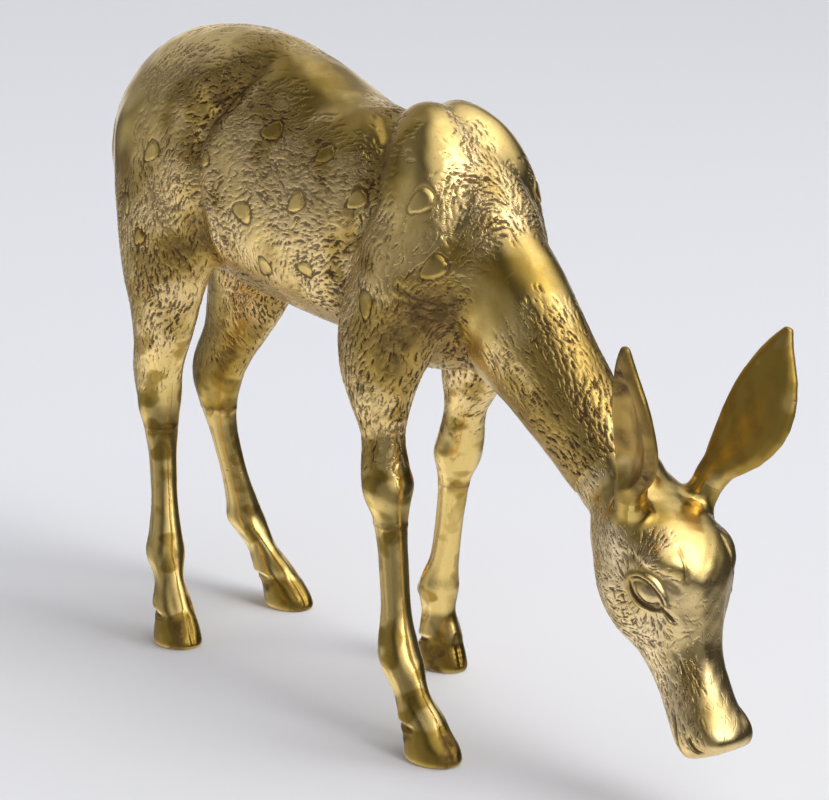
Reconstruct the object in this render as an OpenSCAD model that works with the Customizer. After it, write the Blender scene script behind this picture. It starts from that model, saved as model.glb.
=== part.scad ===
// Grazing doe statuette: hollow cast shells and solid cast legs, located on dowels and brazed.
// Stations run forward (x) from a plumb line behind the hip, to the doe's left (y) and up
// from the ground (z), and are given for a doe 250 mm high at the withers.

/* [Size] */
// Height at the withers
withers_h = 250; // [200:5:320]

/* [Casting] */
// Wall of the hollow shells
wall = 3; // [2.5:0.5:4]
// Width of the cleft in each hoof
cleft_w = 1.2; // [0.8:0.1:1.6]

/* [Joints] */
// Thickness of filler metal left in a brazed joint
braze_t = 1; // [0.6:0.2:1.6]
// How far the filler stands proud of a leg joint
bead = 0.4; // [0.2:0.1:0.6]
// Radius of the dowels at shoulder and hip
body_dowel_r = 3; // [2.5:0.25:3.5]
// Radius of the dowels below knee and hock
leg_dowel_r = 2; // [1.5:0.25:2]
// Radius of the pins under the ears
ear_pin_r = 1.5; // [1:0.25:1.5]
// Radial clearance of a dowel or pin in its socket
dowel_fit = 0.05; // [0.02:0.01:0.1]

/* [Hidden] */

nominal_h = 250;         // withers height that the stations are given for
k = withers_h / nominal_h;
hip_datum = 153.9;       // from the hip plumb line to the origin
far = 600;               // larger than the whole piece
end_gap = 0.5;           // air past the end of a dowel in its socket
brass = "#b8963e";
filler = "#a56f3c";

// Joint heights on the legs, and the sloping joints of the neck: [x, z, slope]
elbow_z = 140;
stifle_z = 150;
knee_z = 86;
hock_z = 92;
legs_part_x = 95;        // the hind joint's height holds behind this, the front one's ahead
neck_joint = [238, 182, -30];
head_joint = [285, 124, -48];

// A station is [x, y, z, slope, upper, lower, half width, roundness]. The slope is the
// casting line's angle above the horizon: 0 forward, -90 straight down. The ring stands
// square to it, and its upper side is the back, the forehead or a leg's front.

barrel = [
    [-32, 0, 213,   0, 10, 12,  9, 2.0],
    [-27, 0, 214,   0, 22, 23, 19, 2.0],
    [-12, 0, 217,   0, 38, 35, 29, 2.1],
    [ 14, 0, 218,   0, 53, 47, 36, 2.1],
    [ 45, 0, 217,   0, 58, 51, 37, 2.1],
    [ 78, 0, 211,   0, 62, 52, 38, 2.1],
    [110, 0, 206,   0, 57, 51, 38, 2.1],
    [142, 0, 203,   0, 46, 52, 36, 2.1],
    [172, 0, 201,   0, 44, 56, 32, 2.1],
    [198, 0, 196,  -5, 46, 52, 28, 2.1],
    [218, 0, 190, -12, 34, 44, 24, 2.1],
    [231, 0, 182, -18, 22, 32, 19, 2.0]
];

neck = [
    [190, 0, 196,  -5,   28,   40,   23, 2.0],
    [212, 0, 191, -14,   29,   44,   23, 2.0],
    [232, 0, 178, -27,   25,   37, 20.5, 2.0],
    [249, 1, 161, -38,   20,   30, 18.5, 2.0],
    [264, 2, 144, -46,   17, 25.5, 16.5, 2.0],
    [279, 3, 129, -50,   14,   23, 15.5, 2.0],
    [292, 4, 116, -52, 12.5,   21, 15.5, 2.0],
    [302, 4, 104, -54,   12,   17,   14, 2.0]
];

head = [
    [290,   4, 121, -36,  7,   20,   14, 2.0],
    [298,   4, 112, -50, 10,   24,   20, 2.1],
    [306,   4, 101, -64, 19,   27,   22, 2.2],
    [311,   4,  89, -74, 24,   28, 21.5, 2.3],
    [315, 3.5,  76, -78, 21,   25, 18.5, 2.3],
    [321,   3,  63, -80, 15,   17,   15, 2.3],
    [327,   2,  51, -78, 13, 12.5, 12.5, 2.3],
    [333,   1,  41, -74, 13,   11,   13, 2.4],
    [337,   1,  32, -70, 15,    9, 13.5, 2.4],
    [339,   1,  28, -68, 12,    7,   11, 2.2]
];

front_right_leg = [
    [186,    -7,  249, -90,    3,    5,    2, 2],
    [188,    -9,  245, -90,    9,   13,    6, 2],
    [192,   -13,  236, -90,   16,   20,   10, 2],
    [194,   -17,  215, -90,   25,   27,   16, 2],
    [195,   -20,  190, -90,   29,   32,   17, 2],
    [188,   -24,  165, -90,   26,   31, 15.5, 2],
    [184,   -26,  148, -90,   20,   24, 13.5, 2],
    [183,   -27,  135, -90, 14.5,   16, 11.5, 2],
    [185, -27.5,  121, -90,  9.5,   10,  8.5, 2],
    [187,   -28,  108, -90,   10, 10.5,  9.5, 2],
    [189, -28.5,  100, -90, 10.5, 10.5,   10, 2],
    [192, -29.5,   88, -90,  7.5,  7.8,  6.8, 2],
    [196,   -31,   70, -90,  6.3,  6.8,  5.8, 2],
    [200,   -33,   52, -90,  6.3,  7.2,    6, 2],
    [203, -34.5,   42, -90,    8,    9,  7.8, 2],
    [206,   -35,   34, -90,    9,   10,  8.5, 2],
    [212, -35.5,   24, -90,    8,  7.5,    7, 2],
    [217, -35.5,   17, -90, 10.5,  8.5,  8.5, 2],
    [219, -35.5, 12.5, -90, 12.5,  9.5,  9.3, 2],
    [221, -35.5, 10.5, -90, 12.5,  9.5,  8.8, 2],
    [224, -35.5,    6, -90,   14,   12,  9.8, 2],
    [225, -35.5,    0, -90,   15, 12.5, 10.5, 2]
];

front_left_leg = [
    [  186,    7, 249, -90,    3,    5,    2, 2],
    [  188,    9, 245, -90,    9,   13,    6, 2],
    [  192,   13, 236, -90,   16,   20,   10, 2],
    [  194,   17, 215, -90,   25,   27,   16, 2],
    [  195,   20, 190, -90,   29,   32,   17, 2],
    [  188,   24, 165, -90,   27,   29, 15.5, 2],
    [  182,   26, 148, -90,   22,   22, 13.5, 2],
    [  176,   27, 135, -90, 16.5,   16, 11.5, 2],
    [  170,   28, 121, -90,   10,   10,  8.5, 2],
    [165.5,   29, 108, -90, 10.5, 10.5,  9.5, 2],
    [162.5, 29.5, 100, -90,   11, 10.5,   10, 2],
    [159.5, 30.5,  88, -90,  7.5,  7.5,  6.8, 2],
    [  155,   32,  70, -90,  6.3,  6.8,  5.8, 2],
    [  150, 33.5,  52, -90,  6.5,    7,    6, 2],
    [  146, 34.5,  43, -90,    8,  8.5,  7.8, 2],
    [  144,   35,  36, -90,    9,  9.5,    9, 2],
    [142.5,   36,  26, -90,    8,    8,    7, 2],
    [142.5, 36.5,  19, -90,   10,  8.5,  8.5, 2],
    [142.5, 36.5,  14, -90,   12,  9.5,  9.3, 2],
    [142.5, 36.5,  12, -90, 12.5,  9.5,  8.8, 2],
    [  143, 36.5,   6, -90,   14, 10.5,  9.8, 2],
    [  143, 36.5,   0, -90, 15.5, 11.5,   10, 2]
];

hind_right_leg = [
    [18,   -13, 252, -90,   21,   18,   13, 2],
    [17,   -18, 235, -90,   33,   28,   18, 2],
    [18,   -20, 210, -90,   41,   32,   18, 2],
    [20,   -22, 185, -90,   37,   28,   17, 2],
    [21,   -23, 165, -90, 29.5,   26, 15.5, 2],
    [20,   -23, 148, -90,   22,   20,   13, 2],
    [17,   -22, 132, -90, 16.5,   18, 10.5, 2],
    [11,   -20, 118, -90,   13, 17.5,  9.5, 2],
    [ 9,   -19, 106, -90, 11.5, 13.5,  9.5, 2],
    [11,   -20,  94, -90,  8.5,    9,    8, 2],
    [15,   -22,  78, -90,  6.8,  7.2,  6.2, 2],
    [21, -25.5,  58, -90,  6.5,    7,    6, 2],
    [25,   -28,  45, -90,    8,    9,  7.5, 2],
    [27, -29.5,  37, -90,    9,  9.5,    9, 2],
    [32, -31.5,  27, -90,    7,    7,  6.8, 2],
    [36,   -33,  19, -90,    9,    8,  8.5, 2],
    [39,   -34,  14, -90, 10.5,  9.5,  9.3, 2],
    [41, -34.5,  12, -90, 11.5,    9,  8.8, 2],
    [44, -35.5,   6, -90,   13, 11.5,  9.8, 2],
    [45,   -36,   0, -90, 14.5,   13, 10.5, 2]
];

hind_left_leg = [
    [  18,   13, 252, -90,   21,   18,   13, 2],
    [  17,   18, 235, -90,   33,   28,   18, 2],
    [  18,   20, 210, -90,   41,   32,   18, 2],
    [  20,   22, 185, -90,   40,   30,   17, 2],
    [  22,   23, 165, -90,   37,   30, 15.5, 2],
    [  18,   23, 148, -90,   31,   26,   13, 2],
    [  10,   23, 132, -90,   24,   22, 10.5, 2],
    [   2,   22, 118, -90,   18,   22,  9.5, 2],
    [  -2,   21, 106, -90,   14,   18,  9.5, 2],
    [  -3,   21,  95, -90,   11,   12,    8, 2],
    [   0,   22,  80, -90,  7.5,  7.5,  6.2, 2],
    [   4,   25,  60, -90,    7,  7.2,    6, 2],
    [   6,   28,  46, -90,    8,  9.5,  7.5, 2],
    [   7, 29.5,  38, -90,    9,   11,    9, 2],
    [  14,   32,  27, -90,    8,  8.5,  6.8, 2],
    [  20, 33.5,  19, -90,   10,   10,  8.5, 2],
    [  24,   34,  14, -90,   12,   12,  9.3, 2],
    [  27, 34.5,  12, -90, 12.5,   12,  8.8, 2],
    [  31,   35,   6, -90,   14,   14,  9.8, 2],
    [31.5, 35.5,   0, -90, 15.5, 14.5, 10.5, 2]
];

tail_line = [
    [-25, 0, 240, -115, 8, 8,   8, 2],
    [-32, 0, 230, -110, 7, 7, 8.5, 2],
    [-37, 0, 215, -100, 6, 6,   8, 2],
    [-38, 0, 200,  -95, 5, 5, 6.5, 2],
    [-38, 0, 190,  -90, 2, 2,   3, 2]
];

// An ear in its own frame: z along it, y towards the way it opens, and the leaf's wider half,
// its lower side here, towards +x
ear_leaf = [
    [0, 0,  0, 90,  5.5, 5.5, 4.6, 2],
    [0, 0,  6, 90,  4.8,   5, 4.4, 2],
    [0, 0, 13, 90,  5.5,   8, 4.6, 2],
    [1, 0, 22, 90,    8,  14, 4.8, 2],
    [2, 0, 33, 90, 10.5,  17, 4.8, 2],
    [2, 0, 44, 90,   11,  16, 4.4, 2],
    [1, 0, 55, 90,  8.5,  12, 3.6, 2],
    [0, 0, 64, 90,    5,   6, 2.6, 2],
    [0, 0, 71, 90,  1.6, 1.6, 1.6, 2]
];
ear_hollow = [
    [0, 5.5, 12, 90,   1,    1,   1, 2],
    [1, 5.5, 17, 90,   4,  6.5, 4.5, 2],
    [1,   6, 24, 90, 6.5,   12, 7.5, 2],
    [2,   6, 34, 90, 8.5, 14.5, 8.2, 2],
    [2,   6, 44, 90,   9, 13.5,   8, 2],
    [1, 5.5, 54, 90, 6.5,  9.5, 6.5, 2],
    [0,   5, 61, 90,   3,    4, 4.5, 2],
    [0,   5, 65, 90,   1,    1, 1.5, 2]
];
// Where each ear starts and ends, and the way its hollow faces
left_ear_root = [309, 21, 112];
right_ear_root = [308, -12, 113];
left_ear_tip = [330, 47, 181];
right_ear_tip = [327, -36, 182];
ear_faces = [-0.3, 0.9, -0.25];
head_y = 4;              // the head is carried this far to the left

// ---- lofting ----

// A station's place in the finished frame
function at(p) = [(p[0] - hip_datum) * k, p[1] * k, p[2] * k];

// A point of the smooth curve through b and c, at t from 0 to 1
function blend4(a, b, c, d, t) =
    0.5 * (2 * b + (c - a) * t + (2 * a - 5 * b + 4 * c - d) * t * t
        + (3 * b - a - 3 * c + d) * t * t * t);

// The stations with steps smooth intervals between each pair
function smoothed(s, steps) = [
    for (i = [0:len(s) - 2], j = [0:steps - 1])
        blend4(s[max(i - 1, 0)], s[i], s[i + 1], s[min(i + 2, len(s) - 1)], j / steps),
    s[len(s) - 1]
];

// A sine or cosine bent towards a square, 2 being round
function squared(v, roundness) = sign(v) * pow(abs(v), 2 / roundness);

// The points of a station's ring, drawn in by inset; origin is where the station's place is
function ring(s, sides, inset, origin) =
    let (up = [-sin(s[3]), 0, cos(s[3])])
    [for (i = [0:sides - 1])
        let (c = squared(cos(360 * i / sides), s[7]), w = squared(sin(360 * i / sides), s[7]))
        origin
            + up * c * max((c > 0 ? s[4] : s[5]) * k - inset, 0.5)
            + [0, w * max(s[6] * k - inset, 0.5), 0]];

// A closed skin over rings of equal length
module skin(rings) {
    n = len(rings[0]);
    last = len(rings) - 1;
    sides = [
        for (i = [0:last - 1], j = [0:n - 1])
            let (a = i * n + j, b = i * n + (j + 1) % n)
            each [[a, b, a + n], [b, b + n, a + n]]
    ];
    polyhedron(
        points = [for (r = rings) each r],
        faces = concat(sides, [[for (j = [n - 1:-1:0]) j]], [[for (j = [0:n - 1]) last * n + j]]),
        convexity = 6
    );
}

module loft(stations, sides = 24, steps = 3, inset = 0)
    skin([for (s = smoothed(stations, steps)) ring(s, sides, inset, at(s))]);

// A loft in its own frame, not the doe's
module local_loft(stations, sides = 16, steps = 2)
    skin([for (s = smoothed(stations, steps)) ring(s, sides, 0, [s[0], s[1], s[2]] * k)]);

// Leaves out the stations at both ends
function inner(s) = [for (i = [1:len(s) - 2]) s[i]];

// Many surfaces as one closed mesh
module one_mesh() resize([0, 0, 0]) children();

// ---- regions ----

// Everything ahead of a sloping joint, the cut moved forward by shift
module ahead(joint, shift = 0)
    translate(at([joint[0], 0, joint[1]])) rotate([0, -joint[2], 0])
        translate([shift, -far / 2, -far / 2]) cube(far);

// Everything behind a sloping joint, the cut moved forward by shift
module behind(joint, shift = 0)
    translate(at([joint[0], 0, joint[1]])) rotate([0, -joint[2], 0])
        translate([shift - far, -far / 2, -far / 2]) cube(far);

// Everything between two heights
module slab(low, high)
    translate([-far / 2, -far / 2, low]) cube([far, far, high - low]);

// The doe's left for side 1, its right for side -1
module half(side)
    translate([-far / 2, side > 0 ? 0 : -far, -far / 2]) cube(far);

// What lies below the tops of the legs, up to rise above the joints
module leg_room(rise) {
    split = at([legs_part_x, 0, 0])[0];
    translate([split - far, -far / 2, -far]) cube([far, far, far + stifle_z * k + rise]);
    translate([split - 1, -far / 2, -far]) cube([far, far, far + elbow_z * k + rise]);
}

// ---- the doe's outer and inner surfaces ----

module brows_and_eyes()
    for (side = [-1, 1]) {
        translate(at([317, head_y + side * 10, 95])) rotate([side * 20, 20, 0])
            scale([11.5, 11, 14] * k) sphere(1, $fn = 20);
        translate(at([320, head_y + side * 17.5, 87.5])) rotate([side * 10, 20, 0])
            scale([4.5, 4.5, 5] * k) sphere(1, $fn = 16);
    }

module trunk() {
    loft(barrel, 28);
    loft(neck);
    loft(head);
    brows_and_eyes();
}

module legs()
    for (leg = [front_right_leg, front_left_leg, hind_right_leg, hind_left_leg]) loft(leg, 18);

module core() {
    loft(inner(barrel), 20, 2, wall);
    loft(neck, 20, 2, wall);
    loft(inner(head), 16, 2, wall);
}

// ---- dowels ----

// The middle of a leg at a station height
function leg_axis(leg, z) = at([
    lookup(z, [for (s = leg) [s[2], s[0]]]),
    lookup(z, [for (s = leg) [s[2], s[1]]]),
    z
]);

// A dowel standing across a leg joint
module dowel(leg, z, r, length)
    translate(leg_axis(leg, z) - [0, 0, length / 2]) cylinder(r = r, h = length, $fn = 32);

// The hole for it, with air past both ends
module socket(leg, z, r, length)
    dowel(leg, z, r + dowel_fit, length + 2 * end_gap);

body_dowel = 22;         // lengths of the dowels
leg_dowel = 16;

// ---- cast pieces ----

module torso_shell(side)
    difference() {
        one_mesh() difference() {
            intersection() {
                union() {
                    trunk();
                    legs();
                }
                half(side);
                behind(neck_joint, -braze_t / 2);
            }
            core();
            leg_room(braze_t / 2);
        }
        socket(side > 0 ? front_left_leg : front_right_leg, elbow_z, body_dowel_r, body_dowel);
        socket(side > 0 ? hind_left_leg : hind_right_leg, stifle_z, body_dowel_r, body_dowel);
    }

module torso_left_shell() color(brass) torso_shell(1);

module torso_right_shell() color(brass) torso_shell(-1);

// The hollow trunk between two cuts
module trunk_length()
    one_mesh() difference() {
        intersection() {
            trunk();
            children();
        }
        core();
    }

module neck_shell() color(brass)
    trunk_length() intersection() {
        ahead(neck_joint, braze_t / 2);
        behind(head_joint, -braze_t / 2);
    }

module head_shell() color(brass)
    difference() {
        trunk_length() ahead(head_joint, braze_t / 2);
        for (side = [-1, 1]) ear_place(side) ear_pin(ear_pin_r + dowel_fit, end_gap);
    }

module neck_braze() color(filler)
    trunk_length() intersection() {
        ahead(neck_joint, -braze_t / 2);
        behind(neck_joint, braze_t / 2);
    }

module head_braze() color(filler)
    trunk_length() intersection() {
        ahead(head_joint, -braze_t / 2);
        behind(head_joint, braze_t / 2);
    }

module tail() color(brass)
    one_mesh() difference() {
        loft(tail_line, 14);
        trunk();
        legs();
    }

// ---- ears ----

// Turns an ear's own frame into its place on the head
module ear_place(side) {
    root = at(side > 0 ? left_ear_root : right_ear_root);
    tip = at(side > 0 ? left_ear_tip : right_ear_tip);
    z = (tip - root) / norm(tip - root);
    opening = [ear_faces[0], side * ear_faces[1], ear_faces[2]];
    across = opening - z * (opening * z);
    y = across / norm(across);
    x = cross(y, z);
    multmatrix([
        [x[0], y[0], z[0], root[0]],
        [x[1], y[1], z[1], root[1]],
        [x[2], y[2], z[2], root[2]],
        [0, 0, 0, 1]
    ]) children();
}

module ear_pin(r, air = 0)
    translate([0, 0, -air]) cylinder(r = r, h = 12 + 2 * air, $fn = 32);

module ear(side)
    difference() {
        one_mesh() difference() {
            ear_place(side) scale([side, 1, 1]) difference() {
                local_loft(ear_leaf);
                local_loft(ear_hollow);
            }
            trunk();
        }
        ear_place(side) ear_pin(ear_pin_r + dowel_fit, end_gap);
    }

module left_ear() color(brass) ear(1);

module right_ear() color(brass) ear(-1);

module ear_pins() color(filler)
    for (side = [-1, 1]) ear_place(side) ear_pin(ear_pin_r);

// ---- legs ----

// The slot up the front of a hoof, leaning back with it
module cleft(leg) {
    sole = leg[len(leg) - 1];
    translate(at([sole[0] + sole[4] - 3, sole[1], 0])) rotate([0, -34, 0])
        translate([0, -cleft_w / 2, -5 * k]) cube([10, 0, 18] * k + [0, cleft_w, 0]);
}

module upper_leg(leg, low, high)
    difference() {
        one_mesh() intersection() {
            loft(leg, 18);
            slab(low * k + braze_t / 2, high * k - braze_t / 2);
        }
        socket(leg, high, body_dowel_r, body_dowel);
        socket(leg, low, leg_dowel_r, leg_dowel);
    }

module lower_leg(leg, high)
    difference() {
        one_mesh() difference() {
            loft(leg, 18);
            slab(high * k - braze_t / 2, far);
            cleft(leg);
        }
        socket(leg, high, leg_dowel_r, leg_dowel);
    }

module front_left_upper_leg() color(brass) upper_leg(front_left_leg, knee_z, elbow_z);

module front_right_upper_leg() color(brass) upper_leg(front_right_leg, knee_z, elbow_z);

module hind_left_upper_leg() color(brass) upper_leg(hind_left_leg, hock_z, stifle_z);

module hind_right_upper_leg() color(brass) upper_leg(hind_right_leg, hock_z, stifle_z);

module front_left_lower_leg() color(brass) lower_leg(front_left_leg, knee_z);

module front_right_lower_leg() color(brass) lower_leg(front_right_leg, knee_z);

module hind_left_lower_leg() color(brass) lower_leg(hind_left_leg, hock_z);

module hind_right_lower_leg() color(brass) lower_leg(hind_right_leg, hock_z);

// A layer of filler around the dowel of a leg joint
module leg_braze(leg, z, dowel_r)
    difference() {
        one_mesh() intersection() {
            loft(leg, 18, 3, -bead);
            slab(z * k - braze_t / 2, z * k + braze_t / 2);
        }
        dowel(leg, z, dowel_r + dowel_fit, 4);
    }

fore = [front_left_leg, front_right_leg];
hind = [hind_left_leg, hind_right_leg];

module shoulder_brazes() color(filler)
    for (leg = fore) leg_braze(leg, elbow_z, body_dowel_r);

module hip_brazes() color(filler)
    for (leg = hind) leg_braze(leg, stifle_z, body_dowel_r);

module knee_brazes() color(filler)
    for (leg = fore) leg_braze(leg, knee_z, leg_dowel_r);

module hock_brazes() color(filler)
    for (leg = hind) leg_braze(leg, hock_z, leg_dowel_r);

module shoulder_dowels() color(filler)
    for (leg = fore) dowel(leg, elbow_z, body_dowel_r, body_dowel);

module hip_dowels() color(filler)
    for (leg = hind) dowel(leg, stifle_z, body_dowel_r, body_dowel);

module knee_dowels() color(filler)
    for (leg = fore) dowel(leg, knee_z, leg_dowel_r, leg_dowel);

module hock_dowels() color(filler)
    for (leg = hind) dowel(leg, hock_z, leg_dowel_r, leg_dowel);

torso_left_shell();
torso_right_shell();
neck_shell();
head_shell();
left_ear();
right_ear();
tail();
front_left_upper_leg();
front_right_upper_leg();
hind_left_upper_leg();
hind_right_upper_leg();
front_left_lower_leg();
front_right_lower_leg();
hind_left_lower_leg();
hind_right_lower_leg();
shoulder_dowels();
hip_dowels();
knee_dowels();
hock_dowels();
ear_pins();
neck_braze();
head_braze();
shoulder_brazes();
hip_brazes();
knee_brazes();
hock_brazes();
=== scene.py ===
import math

import bpy
import numpy as np
import openvdb as vdb
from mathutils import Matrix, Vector
from mathutils.kdtree import KDTree


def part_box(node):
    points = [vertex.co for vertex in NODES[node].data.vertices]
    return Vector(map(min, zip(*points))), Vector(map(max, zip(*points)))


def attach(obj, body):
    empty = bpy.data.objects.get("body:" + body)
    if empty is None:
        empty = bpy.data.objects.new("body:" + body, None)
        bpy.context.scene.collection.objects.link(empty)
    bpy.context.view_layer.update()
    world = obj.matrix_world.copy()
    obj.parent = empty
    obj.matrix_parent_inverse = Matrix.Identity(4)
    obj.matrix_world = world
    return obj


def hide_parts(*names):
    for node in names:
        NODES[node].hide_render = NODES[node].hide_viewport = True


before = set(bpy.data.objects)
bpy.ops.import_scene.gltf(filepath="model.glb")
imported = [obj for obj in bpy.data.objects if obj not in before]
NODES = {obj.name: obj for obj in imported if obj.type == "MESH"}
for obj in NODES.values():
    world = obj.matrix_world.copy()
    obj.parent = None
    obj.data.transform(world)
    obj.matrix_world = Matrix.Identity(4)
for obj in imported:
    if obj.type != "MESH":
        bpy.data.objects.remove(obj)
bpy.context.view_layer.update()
MM = 0.001

# ---- camera ----


def linked(name, data):
    thing = bpy.data.objects.new(name, data)
    bpy.context.scene.collection.objects.link(thing)
    return thing


YAW, PITCH = math.radians(51), math.radians(12.5)
cam = linked("Camera", bpy.data.cameras.new("Camera"))
cam.data.sensor_width = 36
cam.data.lens = 95.5
cam.data.clip_end = 50
cam.location = (0.6921, -0.547, 0.321)
look = Vector((-math.sin(YAW) * math.cos(PITCH), math.cos(YAW) * math.cos(PITCH), -math.sin(PITCH)))
cam.rotation_euler = look.to_track_quat("-Z", "Y").to_euler()
bpy.context.scene.camera = cam


# ---- signed distance fields ----
# All shaping is done in millimetres in the row's frame, on grids that hold the distance to
# the surface: negative inside, positive outside.


def smooth_min(a, b, k):
    h = np.clip(0.5 + 0.5 * (b - a) / k, 0, 1)
    return b + (a - b) * h - k * h * (1 - h)


def ramp(x, start, end):
    t = np.clip((x - start) / (end - start), 0, 1)
    return t * t * (3 - 2 * t)


def node_triangles(names):
    points, faces, count = [], [], 0
    for name in names:
        mesh = NODES[name].data
        mesh.calc_loop_triangles()
        v = np.empty(len(mesh.vertices) * 3, np.float32)
        f = np.empty(len(mesh.loop_triangles) * 3, np.int32)
        mesh.vertices.foreach_get("co", v)
        mesh.loop_triangles.foreach_get("vertices", f)
        points.append(v.reshape(-1, 3) / MM)
        faces.append(f.reshape(-1, 3) + count)
        count += len(points[-1])
    return np.concatenate(points), np.concatenate(faces)


CORNERS = [(x, y, z) for x in (0, 1) for y in (0, 1) for z in (0, 1)]  # of a cell


class Field:
    """A grid of distances in d, with spacing h, that starts at low."""

    def __init__(self, names, h, low=None, high=None, band=12):
        self.h = h
        v, f = node_triangles(names)
        if low is None:
            low, high = v.min(0) - 4, v.max(0) + 4
        lo = np.floor(np.array(low) / h).astype(int)
        hi = np.ceil(np.array(high) / h).astype(int)
        grid = vdb.FloatGrid.createLevelSetFromPolygons(
            v,
            triangles=f.astype(np.uint32),
            transform=vdb.createLinearTransform(voxelSize=h),
            halfWidth=float(band),
        )
        self.d = np.empty(tuple(hi - lo + 1), np.float32)
        grid.copyToArray(self.d, ijk=tuple(int(x) for x in lo))
        self.low = lo * h

    def coords(self, box=None):
        """The places of the grid's points, ready to spread over each other."""
        box = box or tuple(slice(0, n) for n in self.d.shape)
        out = []
        for axis in range(3):
            c = (np.arange(box[axis].start, box[axis].stop) * self.h + self.low[axis]).astype(np.float32)
            out.append(c.reshape([-1 if i == axis else 1 for i in range(3)]))
        return out

    def box(self, low, high):
        """The part of the grid between two places, as slices."""
        out = []
        for axis in range(3):
            a = int(np.floor((low[axis] - self.low[axis]) / self.h))
            b = int(np.ceil((high[axis] - self.low[axis]) / self.h)) + 1
            out.append(slice(max(a, 0), min(max(b, 0), self.d.shape[axis])))
        return tuple(out)

    def blurred(self, sigma):
        radius = int(math.ceil(3 * sigma / self.h))
        t = np.arange(-radius, radius + 1) * self.h / sigma
        weights = np.exp(-t * t / 2)
        weights /= weights.sum()
        out = self.d
        for axis in range(3):
            n = out.shape[axis]
            pad = [(radius, radius) if i == axis else (0, 0) for i in range(3)]
            wide = np.pad(out, pad, mode="edge")
            out = np.zeros_like(out)
            for i, w in enumerate(weights):
                part = tuple(slice(i, i + n) if a == axis else slice(None) for a in range(3))
                out += np.float32(w) * wide[part]
        return out

    def apply(self, shape, blend, cut=False):
        low, high, distance = shape
        box = self.box(np.array(low) - 3 * blend, np.array(high) + 3 * blend)
        if any(s.stop <= s.start for s in box):
            return
        d = distance(*self.coords(box))
        here = self.d[box]
        self.d[box] = -smooth_min(-here, d, blend) if cut else smooth_min(here, d, blend)

    def add(self, shape, blend):
        self.apply(shape, blend)

    def cut(self, shape, blend):
        self.apply(shape, blend, cut=True)

    def sample(self, values, p):
        q = (p - self.low) / self.h
        i = np.clip(np.floor(q).astype(int), 0, np.array(values.shape) - 2)
        t = np.clip(q - i, 0, 1)
        a, b, c = ((1 - u, u) for u in t.T)
        i, j, k = i.T
        return sum(a[x] * b[y] * c[z] * values[i + x, j + y, k + z] for x, y, z in CORNERS)

    def gradient(self, p):
        out = np.empty_like(p)
        for axis in range(3):
            step = np.zeros(3)
            step[axis] = self.h
            out[:, axis] = self.sample(self.d, p + step) - self.sample(self.d, p - step)
        return out / (2 * self.h)

    def project(self, p, rounds=2):
        """Places moved onto the surface."""
        for _ in range(rounds):
            g = self.gradient(p)
            size = np.maximum((g * g).sum(1), 0.04)
            step = g * (self.sample(self.d, p) / size)[:, None]
            far = np.maximum(np.linalg.norm(step, axis=1) / self.h, 1)
            p = p - step / far[:, None]
        return p

    def surface(self):
        """Quads over the zero level, one point to each cell that it crosses."""
        d = self.d
        inside = d < 0
        count = np.zeros(tuple(n - 1 for n in d.shape), np.uint8)
        for corner in CORNERS:
            count += inside[tuple(slice(a, n - 1 + a) for a, n in zip(corner, d.shape))]
        cells = np.argwhere((count > 0) & (count < 8))
        ids = np.full(count.shape, -1, np.int32)
        ids[tuple(cells.T)] = np.arange(len(cells))
        total = np.zeros((len(cells), 3))
        crossings = np.zeros(len(cells))
        faces = []
        for axis in range(3):
            b, c = [a for a in range(3) if a != axis]
            unit = np.eye(3, dtype=int)
            for db in (0, 1):
                for dc in (0, 1):
                    p = cells + unit[b] * db + unit[c] * dc
                    q = p + unit[axis]
                    dp, dq = d[tuple(p.T)], d[tuple(q.T)]
                    on = (dp < 0) != (dq < 0)
                    t = dp[on] / (dp[on] - dq[on])
                    total[on] += p[on]
                    total[on, axis] += t
                    crossings[on] += 1
            first = [slice(None)] * 3
            second = [slice(None)] * 3
            first[axis], second[axis] = slice(0, -1), slice(1, None)
            for other in (b, c):
                first[other] = second[other] = slice(1, -1)
            change = inside[tuple(first)] != inside[tuple(second)]
            e = np.argwhere(change) + unit[b] + unit[c]
            ring = [e - unit[b] - unit[c], e - unit[c], e, e - unit[b]]
            quad = np.stack([ids[tuple(r.T)] for r in ring], 1)
            out_first = ~inside[tuple(e.T)]
            if axis == 1:
                out_first = ~out_first
            quad[out_first] = quad[out_first][:, ::-1]
            faces.append(quad)
        points = total / crossings[:, None] * self.h + self.low
        return points, np.concatenate(faces)


# ---- shapes for the fields ----


def curve(points, steps=6):
    """Points on a smooth line through the given ones."""
    p = np.array(points, float)
    p = np.vstack([2 * p[0] - p[1], p, 2 * p[-1] - p[-2]])
    out = []
    for i in range(1, len(p) - 2):
        a, b, c, d = p[i - 1 : i + 3]
        for t in np.arange(steps) / steps:
            out.append(
                0.5
                * (2 * b + (c - a) * t + (2 * a - 5 * b + 4 * c - d) * t**2 + (3 * b - a - 3 * c + d) * t**3)
            )
    out.append(p[-2])
    return np.array(out)


def tube(points, radii):
    points = np.asarray(points, float)
    radii = np.broadcast_to(np.asarray(radii, float), len(points))
    reach = radii.max()

    def distance(*places):
        best = math.inf
        for a, b, ra, rb in zip(points[:-1], points[1:], radii[:-1], radii[1:]):
            ab = b - a
            t = sum((c - q) * e for c, q, e in zip(places, a, ab)) / max(ab @ ab, 1e-6)
            t = np.clip(t, 0, 1)
            d = np.sqrt(sum((c - q - t * e) ** 2 for c, q, e in zip(places, a, ab)))
            best = np.minimum(best, d - (ra + (rb - ra) * t))
        return best

    return points.min(0) - reach, points.max(0) + reach, distance


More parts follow.
